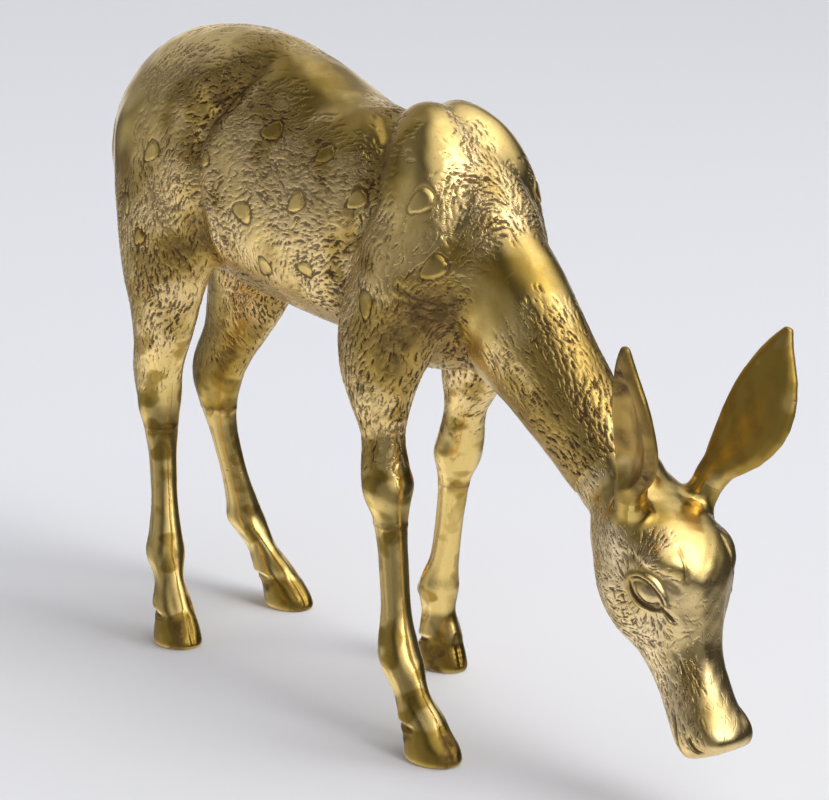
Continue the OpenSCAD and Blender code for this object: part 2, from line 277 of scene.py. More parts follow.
def ellipsoid(centre, radii, axes=None):
    centre, radii = np.asarray(centre, float), np.asarray(radii, float)
    axes = np.eye(3) if axes is None else np.asarray(axes, float)
    reach = radii.max()

    def distance(*places):
        k0 = k1 = 0
        for axis, r in zip(axes, radii):
            q = sum((c - m) * e for c, m, e in zip(places, centre, axis))
            k0 = k0 + (q / r) ** 2
            k1 = k1 + (q / r**2) ** 2
        k0, k1 = np.sqrt(k0), np.sqrt(k1)
        return k0 * (k0 - 1) / np.maximum(k1, 1e-6)

    return centre - reach, centre + reach, distance


def unit(v):
    v = np.asarray(v, float)
    return v / np.maximum(np.linalg.norm(v, axis=-1, keepdims=True), 1e-9)


def on_skin(field, points):
    """The nearest places on the surface and the outward directions there."""
    p = field.project(np.atleast_2d(np.asarray(points, float)), 12)
    return p, unit(field.gradient(p))


INK = []  # places along the grooves that stay dark, and how dark


def fade(count, power=4):
    """Numbers that fall from 1 in the middle to 0 at both ends."""
    return 1 - np.abs(np.linspace(-1, 1, count)) ** power


def groove(field, points, radius, depth, blend=1.0, steps=6, dark=0.0):
    p, n = on_skin(field, curve(points, steps))
    deep = (depth + 0.25 * blend) * fade(len(p)) - 0.25 * blend
    field.cut(tube(p + n * (radius - deep)[:, None], radius), blend)
    if dark:
        fine = np.linspace(0, len(p) - 1, 8 * len(p))
        low = p - n * np.maximum(deep, 0)[:, None]
        line = np.stack([np.interp(fine, np.arange(len(p)), low[:, a]) for a in range(3)], 1)
        INK.append((line, dark * fade(len(fine))))


def ridge(field, points, radius, height, blend=1.0, steps=6):
    p, n = on_skin(field, curve(points, steps))
    high = (height + 0.25 * blend) * fade(len(p)) - 0.25 * blend
    field.add(tube(p - n * (radius - high)[:, None], radius), blend)


def swell(field, point, along, radii, height, blend=3.0, cut=False):
    """A low oval mound, or with cut a hollow; radii run along, across and through the skin."""
    p, n = on_skin(field, point)
    p, n = p[0], n[0]
    u = unit(np.asarray(along, float) - n * np.dot(along, n))
    v = np.cross(n, u)
    centre = p + n * (radii[2] - height) * (1 if cut else -1)
    shape = ellipsoid(centre, radii, (u, v, n))
    field.apply(shape, blend, cut)


def both(points, middle=0.0):
    """The same points on the doe's right and left; middle is the mirror's place."""
    p = np.atleast_2d(np.asarray(points, float))
    q = p.copy()
    q[:, 1] = 2 * middle - q[:, 1]
    return p, q


# ---- joints, from the CAD ----


def joint_plane(node):
    """Middle, forward direction and half thickness of a layer of filler across the trunk."""
    v, _ = node_triangles([node])
    middle = v.mean(0)
    v = v - middle
    normal = np.linalg.svd(v.T @ v)[0][:, 2]
    normal = normal if normal[0] > 0 else -normal
    s = v @ normal
    return middle + normal * (s.max() + s.min()) / 2, normal, (s.max() - s.min()) / 2


NECK = joint_plane("neck_braze")
HEAD = joint_plane("head_braze")


def ahead_of(joint, p):
    """How far places lie towards the nose from the middle of a joint in the neck."""
    return (p - joint[0]) @ joint[1]


def heights(node):
    """The lowest and the highest point of a node."""
    low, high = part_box(node)
    return low[2] / MM, high[2] / MM


ELBOW, STIFLE = heights("shoulder_brazes"), heights("hip_brazes")
KNEE, HOCK = heights("knee_brazes"), heights("hock_brazes")
LEGS_PART = -58.9  # between the hind legs and the fore legs
EARS = {  # root and tip
    "left_ear": ((155.1, 21, 112), (176.1, 47, 181)),
    "right_ear": ((154.1, -12, 113), (173.1, -36, 182)),
}
EAR_JOINT = 7.5  # height of an ear's joint above its root
EAR_ROOT_REACH = 13  # nothing of the skull lies so near an ear's axis there


def ear_frame(name):
    root, tip = (np.array(x, float) for x in EARS[name])
    return root, unit(tip - root)


def from_ear(name, p):
    """How far along an ear's axis each place lies, and how far from it."""
    root, axis = ear_frame(name)
    along = (p - root) @ axis
    return along, np.linalg.norm(p - root - along[:, None] * axis, axis=1)


def in_ear(name, p):
    along, away = from_ear(name, p)
    return (along > EAR_JOINT) & (away < EAR_ROOT_REACH + 0.35 * (along - EAR_JOINT))


def in_leg(p):
    """Whether places lie behind the sloping line that parts the fore legs from the lowered neck."""
    return p[..., 0] < 90 - 0.15 * p[..., 2]


# ---- the body's form ----

BODY_NODES = [n for n in NODES if "dowel" not in n and n not in ("ear_pins", "tail", *EARS)]
HEAD_NODES = BODY_NODES + list(EARS)

SHOULDER_FOLD = [
    (8, -9, 245), (19, -17, 238), (24, -25, 228), (25, -29, 216),
    (20, -32, 203), (10, -33, 190), (-1, -31, 176),
]
HAUNCH_FOLD = [
    (-58, -19, 261), (-68, -28, 252), (-76, -33, 243), (-85, -36, 234), (-90, -37, 223),
    (-90, -37, 208), (-92, -35, 194), (-94, -29, 181), (-90, -24, 171),
]
CHEST_FOLD = [(66, -27, 176), (56, -31, 171), (46, -32, 160), (42, -30, 150)]
MUSCLES = [  # place, way of its length, half sizes, height, blend
    ((44, -24, 232), (0.3, 0, -1), (26, 17, 14), 2.2, 7),  # shoulder blade
    ((36, -35, 188), (0.1, 0, -1), (20, 13, 10), 1.6, 6),  # upper arm
    ((-124, -33, 205), (0, 0, -1), (30, 18, 14), 1.8, 7),  # thigh
    ((-88, -24, 252), (1, 0, -0.4), (12, 8, 8), 1.2, 5),  # point of the hip
]


def body_field():
    f = Field(BODY_NODES, BODY_STEP)
    soft, crisp = (f.blurred(size) for size in BODY_BLUR)
    X, _, Z = f.coords()
    trunk = ramp(Z, 136, 172) * (1 - 0.45 * ramp(X, 95, 125))
    f.d = crisp + (soft - crisp) * trunk.astype(np.float32)
    del soft, crisp, trunk

    for side in both(SHOULDER_FOLD):
        groove(f, side, 9, 2.4, 6)  # behind the shoulder
        groove(f, side[:6], 3.2, 2.0, 2.2, dark=0.6)
    for side in both(HAUNCH_FOLD):
        groove(f, side, 10, 3.2, 7)  # before the haunch
        groove(f, side[:7], 3.6, 3.4, 2.2, dark=1.0)
    for place, *form in MUSCLES:
        for point in both(place):
            swell(f, point[0], *form)
    for side in both(CHEST_FOLD):
        groove(f, side, 6, 1.5, 4)  # between the chest and the arm
    for i in (0, 1, 2):  # furrows below it
        line = [(50, -36, 184 - 5 * i), (56, -34, 179.5 - 4 * i)]
        for side in both(line + [(62, -28, 176 - 3 * i), (66.5, -19, 174 - 4 * i)]):
            groove(f, side, 1.8, 1.0, 1.5, dark=0.8)
    # breast bone and belly seam
    ridge(f, [(30, 0, 145), (-10, 0, 148), (-45, 0, 152), (-75, 0, 158)], 5, 1.2, 5)
    shape_legs(f)
    return f


LEGS = [  # middles down each leg: knee or hock, upper cannon, cannon, fetlock, pastern, coronet, hoof
    [(33, -28.5, 100), (38, -29.5, 88), (44, -32, 62), (51, -34.8, 38),
     (60, -35.5, 22), (66.5, -35.5, 12.5), (71, -35.5, 3)],
    [(9, 29.3, 100), (5.6, 30.5, 88), (-1.5, 32.8, 62), (-9.6, 34.8, 38),
     (-11.5, 36.2, 22), (-11.4, 36.5, 12.5), (-11, 36.5, 3)],
    [(-144, -19.3, 103), (-141, -20.8, 86), (-134, -25, 60), (-126.5, -29.3, 38),
     (-119.5, -32.3, 22), (-113.5, -34.3, 13), (-109, -36, 3)],
    [(-156, 21, 103), (-155, 21.5, 86), (-149.5, 25, 60), (-146.5, 29.3, 38),
     (-136.5, 32.7, 22), (-128, 34.3, 13), (-122.5, 35.5, 3)],
]


def shape_legs(f):
    for leg in LEGS:
        front = leg[0][0] > LEGS_PART
        p = np.array(leg, float)
        out = np.array([0, -1.0 if p[0, 1] < 0 else 1.0, 0])
        back = np.array([-1.0, 0, 0])
        for y in (out, -out):
            # tendon line down the back of the cannon
            line = [p[1] + y * 9 + back * 2.5, p[2] + y * 9 + back * 3]
            groove(f, line + [p[3] + y * 10 + back * 3.5 + (0, 0, 6)], 2.2, 0.55, 1.5)
            # dew claws
            swell(f, p[3] + y * 5 + back * 10 + (0, 0, -3), (0.4, 0, -1), (3.2, 2.2, 2.4), 0.9, 1.5)
            # a hollow in front of the heel tendon, over the pastern
            groove(f, [p[3] + y * 10 + back * 1 + (0, 0, -5), p[4] + y * 9 + back * 2], 3.0, 0.6, 2)
            # the swell of the joint
            swell(f, p[0] + y * 11 + (2 if front else -2, 0, -2), (0, 0, 1), (7, 5, 4), 0.6, 3)
        ridge(f, [p[3] + (6, 0, -6), p[4] + (9, 0, -1), p[5] + (11, 0, 2)], 3.0, 0.8, 2.5)  # pastern
        # coronet: a step from the heel round both sides
        heel, toe = p[5] + (-12, 0, 0), p[5] + (6, 0, 2.5)
        waist = p[5] + (0, 0, 0.6)
        ring = [toe + out * 12, waist + out * 12, heel + out * 7, heel + (-1, 0, -0.2)]
        ring += [heel - out * 7, waist - out * 12, toe - out * 12]
        groove(f, ring, 1.7, 1.4, 0.6)
        # cleft up the front of the hoof, and between the bulbs of the heel
        toe_low = p[6] + (17, 0, -2)
        groove(f, [toe_low, p[6] + (15, 0, 4), p[5] + (12.5, 0, 0.5), p[5] + (10, 0, 4)], 0.9, 0.6, 0.6)
        groove(f, [p[6] + (-14, 0, 0), p[5] + (-12, 0, 0)], 1.0, 0.7, 0.8)


# ---- the head's form ----

ABOVE_EYE = [(156, -18, 99.5), (162, -17, 98), (168, -15.5, 95.5), (173.5, -12.5, 92), (177, -10, 88.5)]
TEAR = [(170.5, -14, 82.5), (172.5, -13, 80.5), (174, -11.5, 78), (175.5, -10.5, 76)]
MOUTH = [(176, -12, 45), (177.5, -12, 39.5), (179, -11.5, 33.5), (182.5, -9.5, 28), (188, -2, 24.5)]
NOSTRIL = [(185, -12.5, 38), (186, -12, 35), (188.5, -11.5, 32.5), (191.5, -9.5, 32)]


def head_field():
    f = Field(HEAD_NODES, HEAD_STEP, (98, -44, 8), (200, 54, 190))
    soft, crisp = (f.blurred(size) for size in HEAD_BLUR)
    X, Y, Z = f.coords()
    ears = 0
    for name in EARS:
        root, axis = ear_frame(name)
        offset = [c - r for c, r in zip((X, Y, Z), root)]
        s = sum(o * a for o, a in zip(offset, axis))
        away = sum((o - s * a) ** 2 for o, a in zip(offset, axis))
        ears = np.maximum(ears, ramp(s, 3, 12) * (away < 24**2))
    f.d = soft + (crisp - soft) * ears.astype(np.float32)
    del soft, crisp, ears
    for name in EARS:
        root, axis = ear_frame(name)
        f.add(tube([root - axis * 2, root + axis * 9], [5.4, 4.6]), 5)
    middle = 4.0
    for s in (-1, 1):

        def at(x, y, z, shift=0.0):
            """A place given on the doe's right."""
            return (x, y, z) if s < 0 else (x, 2 * (middle - shift) - y, z)

        swell(f, at(146, -15, 76), (0.3, 0, -1), (17, 11, 9), 1.3, 5)  # cheek
        swell(f, at(152, -13, 104), (0.5, 0, -1), (9, 7, 6), 0.8, 4)  # temple
        swell(f, at(170.5, -13, 97.5), (1, 0.5, -0.15), (9, 5.5, 5.5), 2.0, 3)  # brow
        # beside the bridge of the nose
        groove(f, [at(181, -8, 86), at(183, -9, 72, 0.5), at(183, -10, 58, 1.5)], 7, 0.9, 4)
        groove(f, [at(176, -13.5, 73, 0.5), at(176, -13, 62, 1), at(175, -12, 52, 2)], 6, 0.8, 4)
        eye(f, at)
        groove(f, [at(172, -7, 104), at(175.5, -7.5, 98), at(178.5, -7.5, 91.5)], 0.7, 0.3, 0.6, dark=0.35)
        for x, z in ((174.5, 66), (176.5, 62), (178, 57)):
            wrinkle = [at(x, -10.5, z, 1), at(x + 2.5, -9, z - 5, 1), at(x + 4, -8, z - 9, 1)]
            groove(f, wrinkle, 0.7, 0.35, 0.6, dark=0.4)
        groove(f, [at(*q, 3) for q in MOUTH], 1.0, 1.1, 0.5, dark=1.0)
        groove(f, [at(*q, 3) for q in NOSTRIL], 1.1, 1.2, 0.5, dark=1.0)
        swell(f, at(190.5, -9.5, 39, 3), (1, 0, -0.6), (7, 4.5, 4), 0.9, 2.5)
    return f


def eye(f, at):
    back, front = (np.array(at(*q)) for q in ((159.5, -17.5, 90.5), (172.5, -13, 81.5)))
    skin, normal = on_skin(f, at(166.5, -17, 86))
    skin, n = skin[0], normal[0]
    u = unit((front - back) - n * ((front - back) @ n))
    up = np.cross(n, u)
    up = up if up[2] > 0 else -up
    half = 8.6

    def line(lift, rise, reach=1.0, lean=0.15):
        """An arc from the back corner to the front one, highest a little towards the back."""
        t = np.linspace(-reach, reach, 9)
        return [skin + u * half * a + up * (lift * (1 - a * a) * (1 - lean * a) + rise) for a in t]

    f.cut(ellipsoid(skin + n * 0.9, (9.4, 4.6, 3.4), (u, up, n)), 0.8)
    ridge(f, line(5.6, 0.7, 1.25), 1.6, 1.4, 0.9)
    ridge(f, line(-5.4, -0.3, 1.1), 1.5, 0.9, 1.0)
    f.add(ellipsoid(skin - n * 4.0, (6.4, 4.2, 4.6), (u, up, n)), 0.3)
    groove(f, line(4.1, 0.1, 1.04), 0.85, 1.0, 0.3, dark=1.0)
    groove(f, line(-4.2, -0.1, 1.04), 0.8, 0.9, 0.3, dark=1.0)
    groove(f, [at(*q) for q in ABOVE_EYE], 1.4, 0.7, 1.6)
    groove(f, [at(*q) for q in TEAR], 1.0, 0.9, 0.6, dark=1.0)


# ---- from field to triangles ----


def triangles(field):
    p, quads = field.surface()
    p = field.project(p)
    a, b, c, d = (p[quads[:, i]] for i in range(4))
    short = ((a - c) ** 2).sum(1) < ((b - d) ** 2).sum(1)
    one = np.where(short[:, None], quads[:, [0, 1, 2]], quads[:, [0, 1, 3]])
    two = np.where(short[:, None], quads[:, [0, 2, 3]], quads[:, [1, 2, 3]])
    return p, np.concatenate([one, two])


def edges_of(tris):
    return np.concatenate([tris[:, [0, 1]], tris[:, [1, 2]], tris[:, [2, 0]]])


def rolled(tris, first):
    """The triangles, each starting from the given one of its corners."""
    return np.take_along_axis(tris, (first[:, None] + np.arange(3)) % 3, 1)


def cut_mesh(p, tris, s, where):
    """Splits the triangles marked in where along s = 0, s being a number for each point."""
    side = np.where(np.abs(s) < 1e-4, 0, np.sign(s)).astype(int)
    t = side[tris]
    crossing = where & (t.min(1) < 0) & (t.max(1) > 0)
    work = tris[crossing]
    kept = [tris[~crossing]]
    if len(work) == 0:
        return p, tris
    edges = np.unique(np.sort(edges_of(work), 1), axis=0)
    edges = edges[side[edges[:, 0]] * side[edges[:, 1]] < 0]
    a, b = edges.T
    w = (s[a] / (s[a] - s[b]))[:, None]
    fresh = p[a] + (p[b] - p[a]) * w
    size = len(p)
    keys = a.astype(np.int64) * size + b
    order = np.argsort(keys)

    def middle(x, y):
        k = np.minimum(x, y).astype(np.int64) * size + np.maximum(x, y)
        return size + order[np.searchsorted(keys[order], k)]

    ts = side[work]
    zero = (ts == 0).any(1)
    # a corner on the line: two triangles
    a, b, c = rolled(work[zero], np.argmax(ts[zero] == 0, 1)).T
    m = middle(b, c)
    kept += [np.stack(t, 1) for t in ((a, b, m), (a, m, c))]
    # one corner alone on its side: three triangles
    t = ts[~zero]
    a, b, c = rolled(work[~zero], np.argmax(t == -np.sign(t.sum(1))[:, None], 1)).T
    m, k = middle(a, b), middle(c, a)
    kept += [np.stack(t, 1) for t in ((a, m, k), (m, b, c), (m, c, k))]
    return np.vstack([p, fresh]), np.concatenate(kept)


def sliced(p, tris, planes):
    """The mesh cut at every plane, and a mark for each on the points that lie on it."""
    for s, where in planes.values():
        p, tris = cut_mesh(p, tris, s(p), where(p[tris].mean(1)))
    return p, tris, {key: np.abs(s(p)) < 1e-3 for key, (s, _) in planes.items()}


def face_normals(p, tris):
    """Each triangle's outward direction, as long as twice its area."""
    a, b, c = (p[tris[:, i]] for i in range(3))
    return np.cross(b - a, c - a)


def point_normals(p, tris):
    face = face_normals(p, tris)
    out = np.zeros_like(p)
    for i in range(3):
        for axis in range(3):
            out[:, axis] += np.bincount(tris[:, i], face[:, axis], len(p))
    return unit(out)


def point_areas(p, tris):
    area = np.linalg.norm(face_normals(p, tris), axis=1) / 6
    return sum(np.bincount(tris[:, i], area, len(p)) for i in range(3))


# ---- the chased fur ----


def drift(p, size, seed):
    """A smooth wandering number from about -1 to 1, made of a few waves."""
    r = np.random.default_rng(seed)
    out = 0
    for _ in range(6):
        k = unit(r.normal(size=3)) * r.uniform(0.6, 1.4) * 2 * math.pi / size
        out = out + np.sin(p @ k + r.uniform(0, 2 * math.pi))
    return out / 3


def near(p, at, reach, middle=0.0):
    """1 at a place and at its mirror image about middle, falling off over reach."""
    x, y, z = p.T
    across = ((np.abs(y - middle) - at[1]) / reach[1]) ** 2
    return np.exp(-(((x - at[0]) / reach[0]) ** 2 + across + ((z - at[2]) / reach[2]) ** 2))


def fur_amount(p, n):
    """How much of the skin is chased, from 0 for smooth metal to 1."""
    x, y, z = p.T
    wander = 0.5 * drift(p, 34, 3) + 0.35 * drift(p, 14, 4)
    amount = 1 - 0.6 * ramp(n[:, 2], 0.4, 0.85) + 0.35 * drift(p, 60, 5)  # less on the back
    amount -= 0.75 * ramp(-x, 108, 140) * ramp(z, 185, 215)  # rump
    amount -= near(p, (46, 0, 226), (20, math.inf, 20)) * ramp(np.abs(y), 4, 14)  # shoulder blade
    s = ahead_of(NECK, p)
    ground = np.exp(-(((s - 1) / 9) ** 2)) * ~in_leg(p)
    amount -= 1.2 * ground  # the neck's joint was ground smooth
    amount -= 0.7 * ramp(s, 0, 6) * ramp(n @ (-0.4, 0, -0.9), 0.1, 0.8)  # throat
    amount -= 0.4 * ramp(-n[:, 2], 0.5, 0.9) * (z > 140)  # belly
    front = in_leg(p) & (x > LEGS_PART)
    hind = in_leg(p) & (x <= LEGS_PART)
    amount = np.where(front, amount * ramp(z, 104, 140), amount)
    amount = np.where(hind, amount * ramp(z, 100, 165) * 0.8, amount)
    return np.clip(amount + 0.5 * wander, 0, 1) * (amount > 0.05)


# Brown over the body, partly patina and partly painted light: more of it paints shade, less of it paints a
# reflection or a highlight.
PATINA_AND_SHADE = [  # more or less of it, where, and over what reach
    (0.90, (60, 22, 168), (13, 14, 11)),  # between the chest and the arm
    (0.50, (-98, 28, 175), (16, 14, 12)),  # flank fold
    (0.35, (-122, 36, 165), (20, 14, 26)),  # thigh
    (0.30, (38, 38, 168), (14, 12, 14)),  # upper arm
    (0.40, (88, 4, 198), (18, 20, 18)),  # painted shade where the neck starts
    (0.28, (-30, 20, 250), (60, 30, 22)),  # back and upper flank: darker, partly tarnish and partly painted shade
    (-0.22, (-35, 36, 192), (40, 20, 22)),  # lower flank: lighter, as a painted reflection of the floor
    (-0.50, (56, 17, 224), (15, 14, 18)),  # shoulder blade: rubbed bright, and a painted highlight
    (0.90, (34, 26, 226), (10, 9, 16)),  # behind it
]


def patina_and_shade_amount(p, n):
    """How much brown each place gets, from 0 for skin rubbed bright to 1: patina the skin has kept, and
    painted shade; less of it paints a reflection or a highlight.
    """
    x, y, z = p.T
    wander = drift(p, 40, 61) + 0.6 * drift(p, 17, 62)

    def along(fold, reach):
        a = np.abs(p[:, 1])
        best = np.full(len(p), 1e9)
        for q in curve(fold, 4):
            best = np.minimum(best, (x - q[0]) ** 2 + (a + q[1]) ** 2 + (z - q[2]) ** 2)
        return np.exp(-best / reach**2)

    out = 0.30 + 0.22 * wander
    out += 1.5 * along(HAUNCH_FOLD[:5], 7) * (0.75 + 0.35 * drift(p, 12, 69))
    out += 0.8 * along(HAUNCH_FOLD[4:8], 6)
    out += 0.8 * along(SHOULDER_FOLD, 6) * (0.7 + 0.4 * drift(p, 12, 69))
    out += 1.2 * along(CHEST_FOLD, 8)
    # painted shade on the trunk's undersides
    out += 0.35 * ramp(-n[:, 2], 0.2, 0.8) * (z > 130)
    for more, at, reach in PATINA_AND_SHADE:
        out += more * near(p, at, reach)
    # painted shade down the neck, ahead of its joint
    out += 0.4 * ramp(ahead_of(NECK, p), 6, 24) * ~in_leg(p)
    out -= 0.1 * ramp(ahead_of(NECK, p), -14, 2) * (1 - ramp(ahead_of(NECK, p), 10, 22)) * ~in_leg(p)
    leg = in_leg(p) * (1 - ramp(z, 126, 152))
    patch = np.clip(drift(p, 15, 63) + 0.5 * drift(p, 6, 64), -1, 1)
    out += leg * (0.08 * ramp(z, 95, 110) + 0.58 * ramp(patch, -0.2, 0.95) - out)
    joint = np.exp(-(((z - np.where(x < LEGS_PART, HOCK[0], KNEE[0])) / 4) ** 2))
    out += leg * joint * 0.7 * ramp(drift(p, 8, 65), -0.2, 0.5)
    out += 0.5 * leg * (z > HOCK[1]) * (x < LEGS_PART) * (y > 0)  # painted shade over the far thigh's inner side
    out += 0.7 * leg * (1 - ramp(z, 10, 16))  # hooves
    return np.clip(out, 0, 1.5)


def fur_way(p):
    """The way the hair lies."""
    x, _, z = p.T
    shoulder = np.exp(-(((x - 40) / 26) ** 2)) * ramp(-z, -235, -205)
    haunch, low = ramp(-x, 88, 112), ramp(-z, -172, -148)
    neck = ramp(ahead_of(NECK, p), -16, 10) * ~in_leg(p)
    way = np.zeros((len(p), 3)) + (-1, 0, -0.32)  # flank
    for other, share in (
        ((-0.25, 0, -1), shoulder),
        ((-0.4, 0, -1), haunch),
        ((-0.1, 0, -1), low),
        ((-0.82, 0, 0.5), neck),
    ):
        way = way + (np.array(other) - way) * share[:, None]
    return way


def beside_nose(p):
    return near(p, (179, 0, 57), (6, math.inf, 10)) * ramp(np.abs(p[:, 1] - 3.5), 6, 8.5)


def cheek_amount(p, n):
    z, s = p[:, 2], ahead_of(HEAD, p)
    amount = 1 - ramp(n @ unit((0.9, 0, 0.25)), 0.38, 0.72)  # none on the face's front
    amount -= ramp(-z, -40, -30)
    amount = np.maximum(amount, 1.3 * beside_nose(p))
    amount = np.maximum(amount, 0.8 * near(p, (165, 16, 105), (8, 5, 6), 4.5))  # temple
    amount = np.maximum(amount * 0.95, 1 - ramp(s, -4, 6))  # neck
    amount -= ramp(z, 108, 116) * ramp(s, 4, 10)
    for name in EARS:
        along, away = from_ear(name, p)
        amount = amount * np.where((along > -2) & (away < 22), ramp(away, 6, 12) * (along < 6), 1)
    for c in EYES:
        amount = amount * ramp(np.linalg.norm(p - c, axis=1), 8, 10.5)
    return np.clip(amount, 0, 1)


EYES = np.array([(166.5, -17.5, 87), (166.5, 25.5, 87)])


def cheek_way(p):
    neck, face = np.array([-0.7, 0, 0.62]), np.array([-0.35, 0, 1.0])
    way = face + (neck - face) * (1 - ramp(ahead_of(HEAD, p), -6, 14))[:, None]
    for c in EYES:
        q = p - c
        d = np.linalg.norm(q, axis=1, keepdims=True)
        near = np.exp(-((d / 24) ** 2))
        way = way * (1 - near) + near * q / np.maximum(d, 1)
    return way


def strokes(p, n, tris, amount, way, gap, length, seed):
    """Sample points along short curved strokes, with each one's taper."""
    r = np.random.default_rng(seed)
    chance = amount * point_areas(p, tris)
    wanted = int(chance.sum() / gap**2 * 1.6)
    picks = r.choice(len(p), size=wanted, p=chance / chance.sum())
    cell = np.floor(p[picks] / (gap * 1.05)).astype(int)
    _, first = np.unique(cell, axis=0, return_index=True)
    picks = picks[np.sort(first)]
    c, m = p[picks], n[picks]
    turn = 0.6 * drift(c, 45, 70) + 0.35 * drift(c, 18, seed + 1) + r.normal(0, 0.13, len(c))
    u = unit(way[picks] - m * (way[picks] * m).sum(1, keepdims=True))
    v = np.cross(m, u)
    cos, sin = np.cos(turn)[:, None], np.sin(turn)[:, None]
    u, v = u * cos + v * sin, v * cos - u * sin
    half = length * r.uniform(0.55, 1.35, len(c)) / 2
    bend = r.normal(0, 0.09, len(c))
    wave = r.uniform(-0.18, 0.18, len(c))
    depth = r.uniform(0.55, 1.1, len(c)) * (0.55 + 0.45 * amount[picks])
    points, taper = [], []
    for t in np.linspace(-1, 1, 11):
        along = (half * t)[:, None]
        across = (bend * (half * t) ** 2 + wave * np.sin(3 * t))[:, None]
        points.append(c + u * along + v * across)
        taper.append(depth * (1 - abs(t) ** 2.5))
    return np.concatenate(points), np.concatenate(taper)


def press(p, points, taper, width):
    """How deep each place lies in a stroke, from 0 to 1."""
    tree = KDTree(len(points))
    for i, q in enumerate(points.tolist()):
        tree.insert(q, i)
    tree.balance()
    gap, which = np.zeros(len(p)), np.zeros(len(p), int)
    for i, q in enumerate(p.tolist()):
        _, which[i], gap[i] = tree.find(q)
    d = np.clip(gap / width, 0, 1)
    return taper[which] * (1 - d * d) ** 2


SPOTS = [  # on the flanks: place, size along the hair
    (-37, -32, 235, 6.5), (-5, -29, 228, 5.5), (-50, -38, 201, 7), (-15, -36, 208, 6),
    (17, -31, 212, 5.5), (25, -34, 192, 5.5), (-43, -32, 178, 6), (-14, -33, 181, 5),
    (35, -39, 174, 6.5), (-78, -37, 220, 5), (-118, -37, 220, 6), (-69, -31, 246, 5.5),
    (64, -30, 191, 6.5), (56, -29, 215, 6.5), (-136, -36, 196, 5.5), (-128, -33, 182, 5),
]


def inked(p, width):
    """How dark the marked grooves leave each place."""
    points, dark = (np.concatenate(x) for x in zip(*INK))
    low, high = points.min(0) - 3, points.max(0) + 3
    near = np.where(((p > low) & (p < high)).all(1))[0]
    out = np.zeros(len(p))
    out[near] = press(p[near], points, dark, width)
    INK.clear()
    return out


def spots(p, n, way):
    """Height of the flat oval spots, and a mask of where they lie."""
    height, mask, line = np.zeros(len(p)), np.zeros(len(p)), np.zeros(len(p))
    for i, (x, y, z, size) in enumerate(SPOTS):
        for s in (-1, 1):
            c = np.array([x + (5 if s > 0 and i % 2 else 0), -s * y, z - (4 if s > 0 and i % 3 == 0 else 0)])
            near = np.where(np.linalg.norm(p - c, axis=1) < 14)[0]
            if len(near) == 0:
                continue
            k = near[np.argmin(np.linalg.norm(p[near] - c, axis=1))]
            c, m = p[k], n[k]
            u = unit(way[k] - m * (way[k] @ m))
            u = unit(u + 0.5 * math.sin(i * 2.4) * np.cross(m, u))
            v = np.cross(m, u)
            q = p[near] - c
            a = (q @ u) / (0.84 * size)
            b = (q @ v) / (0.56 * size)
            b = b * (1 + 0.35 * a)
            r = np.sqrt(a * a + b * b)
            height[near] += 0.30 * (1 - ramp(r, 0.70, 1.02))
            dip = np.exp(-(((r - 1.12) / 0.14) ** 2))
            line[near] = np.maximum(line[near], dip)
            mask[near] = np.maximum(mask[near], 1 - ramp(r, 1.05, 1.3))
    return height, mask, line


# ---- pieces ----

def loops_of(edges):
    """Chains of the directed edges, as lists of points."""
    after = {}
    for a, b in edges:
        after.setdefault(a, []).append(b)
    starts = set(after) - {b for _, b in edges}
    out = []
    while after:
        a = next((s for s in starts if s in after), None)
        a = next(iter(after)) if a is None else a
        chain = [a]
        while a in after:
            b = after[a].pop()
            if not after[a]:
                del after[a]
            if b == chain[0]:
                break
            chain.append(b)
            a = b
        if len(chain) > 2:
            out.append(chain)
    return out


def make_piece(name, p, tris, normals, data, on, ends):
    """A closed mesh of the given triangles, with flat faces over its cut ends."""
    used, local = np.unique(tris, return_inverse=True)
    local = local.reshape(-1, 3)
    q, m = p[used], normals[used]
    edges = edges_of(local)
    code = np.sort(edges, 1)
    code = code[:, 0].astype(np.int64) * len(used) + code[:, 1]
    _, index, times = np.unique(code, return_index=True, return_counts=True)
    rim = edges[index[times == 1]][:, ::-1]
    caps, cap_normals = [], []
    for key, outward in ends:
        cut = on[key][used]
        chosen = [tuple(e) for e in rim[cut[rim[:, 0]] & cut[rim[:, 1]]].tolist()]
        for chain in loops_of(chosen):
            caps.append(chain)
            cap_normals.append(outward)
    extra = [i for c in caps for i in c]
    points = np.vstack([q, q[extra]]) if extra else q
    mesh = bpy.data.meshes.new(name + "_cast")
    loops = np.concatenate([local.ravel(), len(q) + np.arange(len(extra))])
    sizes = np.concatenate([np.full(len(local), 3), [len(c) for c in caps]]).astype(int)
    starts = np.concatenate([[0], np.cumsum(sizes)[:-1]])
    mesh.vertices.add(len(points))
    mesh.vertices.foreach_set("co", (points * MM).ravel().astype(np.float32))
    mesh.loops.add(len(loops))
    mesh.loops.foreach_set("vertex_index", loops.astype(np.int32))
    mesh.polygons.add(len(sizes))
    mesh.polygons.foreach_set("loop_start", starts.astype(np.int32))
    mesh.update(calc_edges=True)
    for key, values in data.items():
        layer = mesh.attributes.new(key, "FLOAT", "POINT")
        v = values[used]
        v = np.concatenate([v, v[extra]]) if extra else v
        layer.data.foreach_set("value", v.astype(np.float32))
    mesh.polygons.foreach_set("use_smooth", np.ones(len(sizes), bool))
    shading = np.vstack([m] + [np.repeat([o], len(c), 0) for c, o in zip(caps, cap_normals)])
    mesh.normals_split_custom_set_from_vertices(shading.tolist())
    piece = linked(name + "_cast", mesh)
    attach(piece, "root")
    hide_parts(name)
    slot, finish, more = FINISH[name]
    mesh.materials.append(material(*finish, **more))


# ---- materials ----


def put(socket, value):
    """Sets a node's input, or links another node's output to it."""
    if isinstance(value, bpy.types.NodeSocket):
        socket.id_data.links.new(value, socket)
    else:
        socket.default_value = value


def wire(node, *values):
    """Sets a node's inputs, in their order."""
    for socket, value in zip(node.inputs, values):
        put(socket, value)


